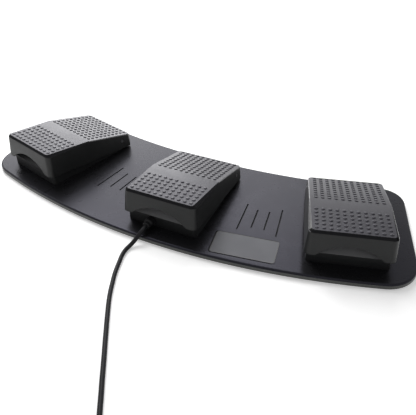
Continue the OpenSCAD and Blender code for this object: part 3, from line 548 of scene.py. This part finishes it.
def plate_body():
    """The plate as a closed solid, with its hollow underneath."""
    bm = bmesh.new()
    last = spin_on(bm, bm.verts.new(front_mid), front_centre, near_turn, ARC_STEPS)
    last = spin_on(bm, last, near_corner, radians(END_SLANT) - near_turn + pi / 2, CORNER_STEPS)
    last = bmesh.ops.extrude_vert_indiv(bm, verts=[last])["verts"][0]
    last.co = far_corner + REAR_CORNER_R * slant
    last = spin_on(bm, last, far_corner, far_turn - radians(END_SLANT) + pi / 2, CORNER_STEPS)
    spin_on(bm, last, rear_centre, -far_turn, ARC_STEPS)
    bmesh.ops.mirror(bm, geom=all_geometry(bm), axis="X", merge_dist=TOUCHING)
    bmesh.ops.remove_doubles(bm, verts=bm.verts, dist=TOUCHING)
    bmesh.ops.contextual_create(bm, geom=bm.edges[:])
    raise_faces(bm, (0, 0, plate_high.z - plate_low.z))
    for height, width, steps in ((plate_high.z, EDGE_R, 4), (plate_low.z, LOW_EDGE, 1)):
        rim = [e for e in bm.edges if all(abs(v.co.z - height) < TOUCHING for v in e.verts)]
        bmesh.ops.bevel(bm, geom=rim, offset=width, offset_type="OFFSET", segments=steps, profile=0.5,
                        affect="EDGES", material=-1, clamp_overlap=False)
    # Upright faces take the lighter wall finish, a painted reflection.
    for face in bm.faces:
        if abs(face.normal.z) < UPRIGHT:
            face.material_index = WALL_SLOT
    lower = next(f for f in bm.faces if f.normal.z < DOWNWARD)
    bmesh.ops.inset_region(bm, faces=[lower], thickness=RIM_W, depth=0, use_even_offset=True)
    bmesh.ops.inset_region(bm, faces=[lower], thickness=HOLLOW_DRAFT, depth=-HOLLOW_H,
                           use_even_offset=True)
    return bm


plate = to_piece(plate_body(), "plate_moulding", finishes=(plate_finish, groove_shade_finish, wall_light_finish))
print("plate", len(plate.data.polygons), "faces")

# %% [markdown]
# ## Recess and grooves
# Next to the middle pedal a bare film lies in a shallow recess, and between the pedals the moulding
# has fans of plain straight grooves. A bump in the material could draw them, but real cuts catch
# light and shade from every side.

# %% Recess
LABEL_SIZE = (51.5, 25.5)
LABEL_AT = (70.5, -51.7)
LABEL_TURN = radians(8.5)
LABEL_R = 2.0
RECESS_GAP = 0.6
RECESS_H = 0.7
FILM_T = 0.62
FILM_SHIFT = (0.42, 0.42)
TOOL_H = 3
label_place = Matrix.Translation(Vector((*LABEL_AT, 0)) * MM) @ Matrix.Rotation(LABEL_TURN, 4, "Z")


def carve(tool, place):
    """Cuts a tool out of the plate and gives its walls a darker finish, as painted shade."""
    for face in tool.faces:
        face.material_index = GROOVE_SLOT
    combine(plate, to_piece(tool, "carving_tool", place, (plate_finish, groove_shade_finish)), "DIFFERENCE")


recess_size = [length + 2 * RECESS_GAP for length in LABEL_SIZE]
recess = rounded_plate(*recess_size, TOOL_H, LABEL_R + RECESS_GAP)
bmesh.ops.translate(recess, vec=(0, 0, PLATE_TOP - RECESS_H), verts=recess.verts)
carve(recess, label_place)
print("recess", recess_size, "mm")

# %% Grooves
GROOVE_W = 1.1
GROOVE_H = 1.0
GROOVE_END_R = 0.54
GROOVE_END_STEPS = 4
GROOVE_RADIUS = 524.5
GROOVE_STEP = 1.15
GROOVE_LENGTHS = (36, 25, 25, 36)
GROOVE_MIDDLES = (-7.05, 7.75)
PLATE_SOFT_EDGE = 0.12
PLATE_SHARP_ANGLE = 50
middle_groove = (len(GROOVE_LENGTHS) - 1) / 2
for middle in GROOVE_MIDDLES:
    for k, length in enumerate(GROOVE_LENGTHS):
        turn = radians(middle + (k - middle_groove) * GROOVE_STEP)
        at = on_arc(front_centre, GROOVE_RADIUS, turn)
        at.z = PLATE_TOP - GROOVE_H
        place = Matrix.Translation(at * MM) @ Matrix.Rotation(turn, 4, "Z")
        carve(rounded_plate(GROOVE_W, length, TOOL_H, GROOVE_END_R, GROOVE_END_STEPS), place)
soften(plate, PLATE_SOFT_EDGE, angle=PLATE_SHARP_ANGLE, segments=1)
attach(plate, "base")
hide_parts("base_plate")
print("plate cut to", len(plate.data.polygons), "faces")

# %% Film in the recess
FILM_BORDER = 0.9
RIM_SLOT = 1
film_body = rounded_plate(*LABEL_SIZE, FILM_T, LABEL_R)
bmesh.ops.translate(film_body, vec=(*FILM_SHIFT, PLATE_TOP - RECESS_H), verts=film_body.verts)
top_face = max(film_body.faces, key=lambda f: f.calc_center_median().z)
border = bmesh.ops.inset_region(film_body, faces=[top_face], thickness=FILM_BORDER, depth=0,
                                use_even_offset=True)
for face in border["faces"]:
    face.material_index = RIM_SLOT
film = to_piece(film_body, "label_film", label_place, (label_finish, rim_finish))
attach(film, "base")
print("film", len(film.data.polygons), "faces")

# %% [markdown]
# ## Pedal covers
# A cover is a moulded shell: a tread with a kink in it, a skirt round it, a dark chamfer that
# starts at the kink and widens to the front corners, and an arch cut out of the front skirt.
# Its rear skirt hangs low, with a notch for the ledge that stops it. A cover could be boxed
# together from plates, but the real one comes out of one mould, so it starts as one rounded face
# that is raised, inset for the chamfer, and then cored and cut. A pale finish on some edges is a painted
# highlight, and a darker finish on the right pedal's right front chamfer is painted shade.

# %% Cover sizes, in millimetres
PEDAL_W = 64
PEDAL_L = 96.5
REAR_TOP = 13.8
KINK_U = 50.5
KINK_TOP = 27.2
FRONT_TOP = 32.3
SKIRT_REAR = 1.4
SKIRT_FRONT = 10.6
SKIRT_LEAN = 2.3
SKIRT_FLARE = 1.7
FACE_LEAN = SKIRT_LEAN / (FRONT_TOP - SKIRT_FRONT)
SIDE_LEAN = SKIRT_FLARE / (FRONT_TOP - SKIRT_FRONT)
COVER_WALL = 2
FRONT_WALL = 2.5
TREAD_T = 2
BAND = 2.3
BAND_STEEPER = 1.1
REAR_EDGE = 0.5
FRONT_R = 4.5
REAR_R = 4
ARCH_W = 50
ARCH_H = 10
ARCH_DEPTH = 16
HIGHLIGHT_EDGE_W = 0.4
HIGHLIGHT_STRIP_W = 0.45
CRISP_W = 0.12
COVER_SOFT_EDGE = 0.3
PIN_HOLE_D = 3.1
PIN_PAST = 4
LEDGE_W = 40
LEDGE_ROOM = 0.6
LEDGE_TOP = 3.2
LEDGE_PAST = 1
PAST_KINK = KINK_U + 1
REAR_SLOPE = (KINK_TOP - REAR_TOP) / KINK_U
FRONT_SLOPE = (FRONT_TOP - KINK_TOP) / (PEDAL_L - KINK_U)
SKIRT_SLOT, TREAD_SLOT, BAND_SLOT, HIGHLIGHT_SLOT, SHEEN_SLOT, PAINTED_SHADE_SLOT = range(6)


def tread_z(u):
    """Height of the tread above the plate at a distance u from the pedal's rear end."""
    if u < KINK_U:
        return REAR_TOP + REAR_SLOPE * u
    return KINK_TOP + FRONT_SLOPE * (u - KINK_U)


def skirt_z(u):
    """Height of the skirt's lower edge."""
    return SKIRT_REAR + (SKIRT_FRONT - SKIRT_REAR) * u / (PEDAL_L + SKIRT_LEAN)


def band_w(u):
    """Width of the chamfer round the tread."""
    return REAR_EDGE + (BAND - REAR_EDGE) * max(0, min(1, (u - KINK_U) / (PEDAL_L - KINK_U)))


def lean_out(vert, half_width):
    """Moves a vertex of a side wall out, by how far it lies below the tread."""
    below = tread_z(-vert.co.y) - vert.co.z
    vert.co.x *= 1 + SIDE_LEAN * below / half_width


print("tread rises from", REAR_TOP, "to", FRONT_TOP, "mm above the plate")

# %% Edges of the cover
SIDE_WALL = 0.7
SIDE_BAND = 0.5


def behind_kink(face):
    """Whether a face lies in the rear half of the cover."""
    return -face.calc_center_median().y < KINK_U


def under_highlight_edge(face):
    """Whether a skirt face lies under an edge with a painted highlight: the left side, and the right
    behind the kink.
    """
    return face.normal.x < -SIDE_WALL or (face.normal.x > SIDE_WALL and behind_kink(face))


def band_slot(face, side):
    """The finish of a chamfer face: a pale painted highlight behind the kink, glossy on the left, painted
    shade on the right pedal's right side, and dark elsewhere.
    """
    if behind_kink(face):
        return HIGHLIGHT_SLOT
    if face.normal.x < -SIDE_BAND:
        return SHEEN_SLOT
    # Painted shade on the right pedal's right front chamfer.
    if face.normal.x > SIDE_BAND and side == "right":
        return PAINTED_SHADE_SLOT
    return BAND_SLOT


def between(bm, *slots):
    """The edges where two finishes meet."""
    return [e for e in bm.edges if {f.material_index for f in e.link_faces} == set(slots)]


def round_edges(bm, edges, width, slot):
    """Bevels those edges and gives the new faces a finish."""
    bmesh.ops.bevel(bm, geom=edges, offset=width, offset_type="OFFSET", segments=2, profile=0.5,
                    affect="EDGES", material=slot, clamp_overlap=True)


def paint_highlight_strip(bm):
    """Parts the outer strip off the chamfer with painted shade and gives it the pale finish of a painted
    highlight.
    """
    strip_x = PEDAL_W / 2 - HIGHLIGHT_STRIP_W
    shaded = [f for f in bm.faces if f.material_index == PAINTED_SHADE_SLOT]
    around = {g for f in shaded for g in (*f.edges, *f.verts)}
    bmesh.ops.bisect_plane(bm, geom=[*shaded, *around], plane_co=(strip_x, 0, 0), plane_no=(1, 0, 0))
    for face in bm.faces:
        if face.material_index == PAINTED_SHADE_SLOT and face.calc_center_median().x > strip_x:
            face.material_index = HIGHLIGHT_SLOT


# The pale bevels and the strip are painted highlights.
print("rubbed edges", HIGHLIGHT_EDGE_W, "mm wide, bright strip", HIGHLIGHT_STRIP_W, "mm")

# %% Cover blank
def cover_blank(side):
    """The cover's outside as a closed block, with its tread, chamfer and skirt marked."""
    bm = bmesh.new()
    length = PEDAL_L + SKIRT_LEAN
    bmesh.ops.create_grid(bm, x_segments=1, y_segments=1, size=0.5)
    bmesh.ops.scale(bm, vec=(PEDAL_W, length, 1), verts=bm.verts)
    bmesh.ops.translate(bm, vec=(0, -length / 2, 0), verts=bm.verts)
    for radius, at_front in ((FRONT_R, True), (REAR_R, False)):
        corners = [v for v in bm.verts if (v.co.y < -length / 2) == at_front]
        bmesh.ops.bevel(bm, geom=corners, offset=radius, offset_type="OFFSET", segments=8, profile=0.5,
                        affect="VERTICES", material=-1, clamp_overlap=True)
    bmesh.ops.bisect_plane(bm, geom=all_geometry(bm), plane_co=(0, -KINK_U, 0), plane_no=(0, 1, 0))
    raised = bmesh.ops.extrude_face_region(bm, geom=bm.faces[:])
    top = only_verts(raised["geom"])
    tread_faces = [f for f in raised["geom"] if isinstance(f, bmesh.types.BMFace)]
    for v in bm.verts:
        v.co.z = skirt_z(-v.co.y)
        if v not in top:
            lean_out(v, PEDAL_W / 2)
    for v in top:
        if -v.co.y > PAST_KINK:
            v.co.y += SKIRT_LEAN
        v.co.z = tread_z(-v.co.y)
    bmesh.ops.recalc_face_normals(bm, faces=bm.faces)
    ring = bmesh.ops.inset_region(bm, faces=tread_faces, thickness=BAND, depth=0, use_even_offset=True)
    inner = {v for f in tread_faces for v in f.verts}
    for v in inner:
        outer = [e.other_vert(v) for e in v.link_edges if e.other_vert(v) not in inner]
        for rim in outer:
            v.co = rim.co.lerp(v.co, band_w(-rim.co.y) / BAND)
            past = max(0, -v.co.y - PEDAL_L + 2 * FRONT_R)
            v.co.y -= BAND_STEEPER * past / (2 * FRONT_R - BAND)
            v.co.z = tread_z(-v.co.y)
    for rim in {v for f in ring["faces"] for v in f.verts} - inner:
        width = band_w(-rim.co.y)
        rim.co.z -= width
        lean_out(rim, PEDAL_W / 2)
        if -rim.co.y > PAST_KINK:
            rim.co.y -= FACE_LEAN * width
    bm.normal_update()
    for face in ring["faces"]:
        face.material_index = band_slot(face, side)
    for face in tread_faces:
        face.material_index = TREAD_SLOT
    sides = [e for e in bm.edges if {f in ring["faces"] for f in e.link_faces} == {True, False}
             and any(f.material_index == SKIRT_SLOT and under_highlight_edge(f) for f in e.link_faces)]
    # The left edges and the rear right edges get pale bevels: a painted highlight.
    round_edges(bm, sides, HIGHLIGHT_EDGE_W, HIGHLIGHT_SLOT)
    round_edges(bm, between(bm, TREAD_SLOT, BAND_SLOT), CRISP_W, BAND_SLOT)
    paint_highlight_strip(bm)
    return bm


print("chamfer", band_w(0), "to", band_w(PEDAL_L), "mm wide")

# %% Tools that shape the cover
def side_block(points, width):
    """A block of that width from a side view of points (u, z)."""
    bm = bmesh.new()
    verts = [bm.verts.new((-width / 2, -u, z)) for u, z in points]
    bm.faces.new(verts)
    raise_faces(bm, (width, 0, 0))
    return bm


def core_tool():
    """The mould's core, which leaves the walls standing."""
    low = -1
    front = PEDAL_L - FRONT_WALL
    foot = PEDAL_L + FACE_LEAN * (FRONT_TOP - low) - FRONT_WALL
    half_width = PEDAL_W / 2 - COVER_WALL
    profile = [(COVER_WALL, low), (COVER_WALL, tread_z(COVER_WALL) - TREAD_T),
               (KINK_U, KINK_TOP - TREAD_T), (front, tread_z(front) - TREAD_T), (foot, low)]
    bm = side_block(profile, 2 * half_width)
    bmesh.ops.bisect_plane(bm, geom=all_geometry(bm), plane_co=(0, -KINK_U, 0), plane_no=(0, 1, 0))
    for v in bm.verts:
        lean_out(v, half_width)
    return bm


def arch_tool():
    """The arch: an upright disc that cuts through the front skirt."""
    bm = bmesh.new()
    radius = (ARCH_W * ARCH_W / 4 + ARCH_H * ARCH_H) / (2 * ARCH_H)
    crown = SKIRT_FRONT + ARCH_H
    bmesh.ops.create_circle(bm, cap_ends=True, segments=128, radius=radius)
    raise_faces(bm, (0, 0, ARCH_DEPTH))
    bmesh.ops.rotate(bm, cent=(0, 0, 0), matrix=Matrix.Rotation(pi / 2, 3, "X"), verts=bm.verts)
    bmesh.ops.translate(bm, vec=(0, -PEDAL_L + 2 * FRONT_WALL, crown - radius), verts=bm.verts)
    return bm


def ledge_tool():
    """The notch in the rear wall, where the housing's ledge stops the cover."""
    bm = bmesh.new()
    depth = 2 * COVER_WALL
    bmesh.ops.create_cube(bm, size=1)
    bmesh.ops.scale(bm, vec=(LEDGE_W + 2 * LEDGE_ROOM, depth, 2 * LEDGE_TOP), verts=bm.verts)
    bmesh.ops.translate(bm, vec=(0, LEDGE_PAST - depth / 2, 0), verts=bm.verts)
    return bm


def pin_tool():
    """The bore of the hinge pin, right across the cover."""
    bm = bmesh.new()
    along_x = Matrix.Translation((0, -PIN_U, PIN_Z)) @ Matrix.Rotation(pi / 2, 4, "Y")
    bmesh.ops.create_cone(bm, cap_ends=True, segments=32, radius1=PIN_HOLE_D / 2, radius2=PIN_HOLE_D / 2,
                          depth=PEDAL_W + PIN_PAST, matrix=along_x)
    return bm


print("arch", ARCH_W, "by", ARCH_H, "mm")

# %% Seat, guide and rib under the tread
SPRING_U = 70
SEAT_D = 12
SEAT_Z = 26.3
GUIDE_D = 6.6
GUIDE_H = 4
SWITCH_U = 26
RIB_AT = (-2.7, 17.3)
RIB_SIZE = (8, 3)


def under_tread_tools():
    """The spring's seat and guide and the rib over the switch, as tools to join to the cover."""
    for diameter, low in ((SEAT_D, SEAT_Z), (GUIDE_D, SEAT_Z - GUIDE_H)):
        bm = bmesh.new()
        height = tread_z(SPRING_U) - TREAD_T / 2 - low
        place = Matrix.Translation((0, -SPRING_U, low + height / 2))
        bmesh.ops.create_cone(bm, cap_ends=True, segments=32, radius1=diameter / 2, radius2=diameter / 2,
                              depth=height, matrix=place)
        yield bm
    bm = bmesh.new()
    height = tread_z(SWITCH_U) - TREAD_T / 2 - RIB_AT[1]
    bmesh.ops.create_cube(bm, size=1)
    bmesh.ops.scale(bm, vec=(*RIB_SIZE, height), verts=bm.verts)
    bmesh.ops.translate(bm, vec=(RIB_AT[0], -SWITCH_U, RIB_AT[1] + height / 2), verts=bm.verts)
    yield bm


print("spring seat", SEAT_Z, "mm above the plate")

# %% Three covers
# Among these, the pale edge finish is a painted highlight and the darker chamfer finish is painted shade.
cover_finishes = (skirt_finish, tread_finish, band_finish, highlight_finish, sheen_finish, painted_shade_finish)
for side in SIDES:
    place = pedal_place(side)
    cover = to_piece(cover_blank(side), f"pedal_shell_{side}", place, cover_finishes)
    combine(cover, to_piece(core_tool(), "core_tool", place), "DIFFERENCE")
    for tool in under_tread_tools():
        combine(cover, to_piece(tool, "rib_tool", place), "UNION")
    for cut in (arch_tool, ledge_tool, pin_tool):
        combine(cover, to_piece(cut(), "cut_tool", place), "DIFFERENCE")
    soften(cover, COVER_SOFT_EDGE)
    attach(cover, f"pedal_{side}")
    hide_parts(f"pedal_cover_{side}")
    print(cover.name, len(cover.data.polygons), "faces")

# %% [markdown]
# ## Raised dots
# Low round studs cover the tread in two fields and leave a smooth strip across the kink. A bump in
# the material could stand for them, but their shaded front sides are what the eye reads, so they
# are real geometry. One stud is made, its rim bevelled, and then it is copied along the rows,
# tilted with the tread. The front field, where the foot rests, is worn a little lower.

# %% Dots
DOT_D = 3.3
DOT_TOP_D = 2.9
DOT_H = 0.6
DOT_ROOT = 0.4
DOT_EDGE = 0.35
DOT_SHARP_ANGLE = 50
DOT_COLUMNS = 11
DOT_STEP = 5.3
DOT_FIELDS = ((3.6, 10, 4.82, atan(REAR_SLOPE), 1.0), (65.2, 6, 5.3, atan(FRONT_SLOPE), 0.85))


def tread_dots():
    """All the studs of one tread, in the pedal's frame."""
    bm = bmesh.new()
    middle = Matrix.Translation((0, 0, (DOT_H - DOT_ROOT) / 2))
    bmesh.ops.create_cone(bm, cap_ends=True, segments=12, radius1=DOT_D / 2, radius2=DOT_TOP_D / 2,
                          depth=DOT_H + DOT_ROOT, matrix=middle)
    rim = [e for e in bm.edges if all(v.co.z > 0 for v in e.verts)]
    round_edges(bm, rim, DOT_EDGE, -1)
    first = all_geometry(bm)
    for start, rows, step, tilt, worn in DOT_FIELDS:
        for row in range(rows):
            for column in range(DOT_COLUMNS):
                u = start + row * step
                v = (column - (DOT_COLUMNS - 1) / 2) * DOT_STEP
                copy = bmesh.ops.duplicate(bm, geom=first)["geom"]
                place = Matrix.Translation((v, -u, tread_z(u))) @ Matrix.Rotation(-tilt, 4, "X")
                place = place @ Matrix.Diagonal((1, 1, worn, 1))
                bmesh.ops.transform(bm, matrix=place, verts=only_verts(copy))
    bmesh.ops.delete(bm, geom=only_verts(first), context="VERTS")
    return bm


for side in SIDES:
    dots = to_piece(tread_dots(), f"tread_dots_{side}", pedal_place(side), (tread_finish,))
    dots.data.shade_smooth()
    dots.data.set_sharp_from_angle(angle=radians(DOT_SHARP_ANGLE))
    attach(dots, f"pedal_{side}")
print("dots", len(dots.data.polygons), "faces a tread")

# %% [markdown]
# ## Return springs
# A steel spring under each tread lifts the pedal. The CAD spring is a coarse tube, so a small
# circle is spun about the spring's axis while it climbs.

# %% Springs
WIRE_D = 1
SPRING_D = 10
SPRING_CURLS = 6.5
SPRING_STEPS = 28
SPRING_LOW = 2.2
SPRING_ROOM = 0.2
SPRING_HIGH = SEAT_Z - SPRING_ROOM
spring_rise = SPRING_HIGH - SPRING_LOW - WIRE_D
spring_steps = int(SPRING_CURLS * SPRING_STEPS)


def spring_coil():
    """A closed helical wire standing in the pedal's frame."""
    bm = bmesh.new()
    start = Matrix.Translation(((SPRING_D - WIRE_D) / 2, 0, SPRING_LOW + WIRE_D / 2))
    bmesh.ops.create_circle(bm, cap_ends=False, segments=10, radius=WIRE_D / 2,
                            matrix=start @ Matrix.Rotation(pi / 2, 4, "X"))
    bmesh.ops.spin(bm, geom=bm.verts[:] + bm.edges[:], cent=(0, 0, 0), axis=(0, 0, 1),
                   dvec=(0, 0, spring_rise / spring_steps), angle=2 * pi * SPRING_CURLS,
                   steps=spring_steps, use_merge=False, use_duplicate=False)
    bmesh.ops.holes_fill(bm, edges=[e for e in bm.edges if e.is_boundary], sides=0)
    bmesh.ops.recalc_face_normals(bm, faces=bm.faces)
    bmesh.ops.translate(bm, vec=(0, -SPRING_U, 0), verts=bm.verts)
    return bm


for side in SIDES:
    spring = to_piece(spring_coil(), f"spring_wire_{side}", pedal_place(side), (spring_finish,))
    spring.data.shade_smooth()
    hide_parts(f"return_spring_{side}")
    foot, head = (pedal_place(side) @ (Vector((0, -SPRING_U, z)) * MM) for z in (SPRING_LOW, SPRING_HIGH))
    tuple(foot)
    tuple(head)
    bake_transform(spring)
print("spring", len(spring.data.polygons), "faces")

# %% [markdown]
# ## Studio
# A plain pale floor and soft light. A large soft panel stands behind to the left, where the
# satin plate mirrors it towards the camera, three smaller panels help it from behind and above,
# and an even pale world fills the shadows. The floor and the world show white to the camera and
# in reflections, and the floor keeps its shadows. Far from the lamps the floor glows a little
# more, so that it meets the white world without a line.

# %% Floor
FLOOR_SIZE = 8.0
floor_mesh = bmesh.new()
bmesh.ops.create_grid(floor_mesh, x_segments=1, y_segments=1, size=FLOOR_SIZE / 2)
floor_data = bpy.data.meshes.new("floor")
floor_mesh.to_mesh(floor_data)
floor_mesh.free()
floor = bpy.data.objects.new("floor", floor_data)
bpy.context.scene.collection.objects.link(floor)
print("floor", FLOOR_SIZE, "m square")

# %% Floor finish
def seen_rays(tree):
    """1 for rays from the camera, off gloss or through glass, and 0 for the rest."""
    path = tree.nodes.new("ShaderNodeLightPath")
    total = path.outputs["Is Camera Ray"]
    for kind in ("Is Glossy Ray", "Is Transmission Ray"):
        plus = tree.nodes.new("ShaderNodeMath")
        plus.operation = "ADD"
        plus.use_clamp = True
        tree.links.new(total, plus.inputs[0])
        tree.links.new(path.outputs[kind], plus.inputs[1])
        total = plus.outputs[0]
    return total


FLOOR_COLOR = 0.9
FLOOR_ROUGH = 0.9
FLOOR_SPECULAR = 0.1
FLOOR_LIFT = 0.4
FAR_LIFT = 0.75
NEAR_RADIUS = 0.8
FAR_RADIUS = 2.0
floor_finish, tree, shader, place = blank_finish("floor_pale")
shader.inputs["Base Color"].default_value = (FLOOR_COLOR, FLOOR_COLOR, FLOOR_COLOR, 1)
shader.inputs["Roughness"].default_value = FLOOR_ROUGH
shader.inputs["Specular IOR Level"].default_value = FLOOR_SPECULAR
shader.inputs["Emission Color"].default_value = (1, 1, 1, 1)
reach = add(tree, "ShaderNodeVectorMath", Vector=place.outputs["Object"])
reach.operation = "LENGTH"
ramp = add(tree, "ShaderNodeMapRange", Value=reach.outputs["Value"], From_Min=NEAR_RADIUS,
           From_Max=FAR_RADIUS, To_Min=FLOOR_LIFT, To_Max=FAR_LIFT)
lift = add(tree, "ShaderNodeMapRange", Value=seen_rays(tree), To_Max=ramp.outputs["Result"])
tree.links.new(lift.outputs["Result"], shader.inputs["Emission Strength"])
floor_data.materials.append(floor_finish)
print("floor glows by", FLOOR_LIFT, "near the object and", FAR_LIFT, "far away")

# %% World
WORLD_LIGHT = 0.28
world = bpy.data.worlds.new("studio")
bpy.context.scene.world = world
world.use_nodes = True
glow = add(world.node_tree, "ShaderNodeMapRange", Value=seen_rays(world.node_tree),
           To_Min=WORLD_LIGHT, To_Max=1.0)
sky = world.node_tree.nodes["Background"]
sky.inputs["Color"].default_value = (1, 1, 1, 1)
world.node_tree.links.new(glow.outputs["Result"], sky.inputs["Strength"])
bpy.context.scene.view_settings.view_transform = "Standard"
print("world light", WORLD_LIGHT)


# %% Lights
def soft_panel(name, power, width, height, at):
    """A soft light panel that faces the middle of the object."""
    lamp = bpy.data.lights.new(name, "AREA")
    lamp.shape = "RECTANGLE"
    lamp.energy = power
    lamp.size = width
    lamp.size_y = height
    panel = bpy.data.objects.new(name, lamp)
    panel.location = at
    panel.rotation_mode = "QUATERNION"
    panel.rotation_quaternion = (-at).to_track_quat("-Z", "Y")
    bpy.context.scene.collection.objects.link(panel)


soft_panel("back_panel", 10.4, 0.8, 1.07, Vector((-0.73, 0.84, 0.553)))
soft_panel("fill_panel", 3.3, 0.32, 0.75, Vector((-0.2, 0.99, 0.92)))
soft_panel("low_panel", 2.5, 1.4, 0.3, Vector((-0.53, 1.27, 0.167)))
soft_panel("top_panel", 7.0, 0.5, 0.5, Vector((-0.55, 0.3, 0.95)))
print(len(bpy.data.lights), "soft panels")

# %% [markdown]
# ## Last update
# The view layer is brought up to date once more.

# %% Last update
bpy.context.view_layer.update()
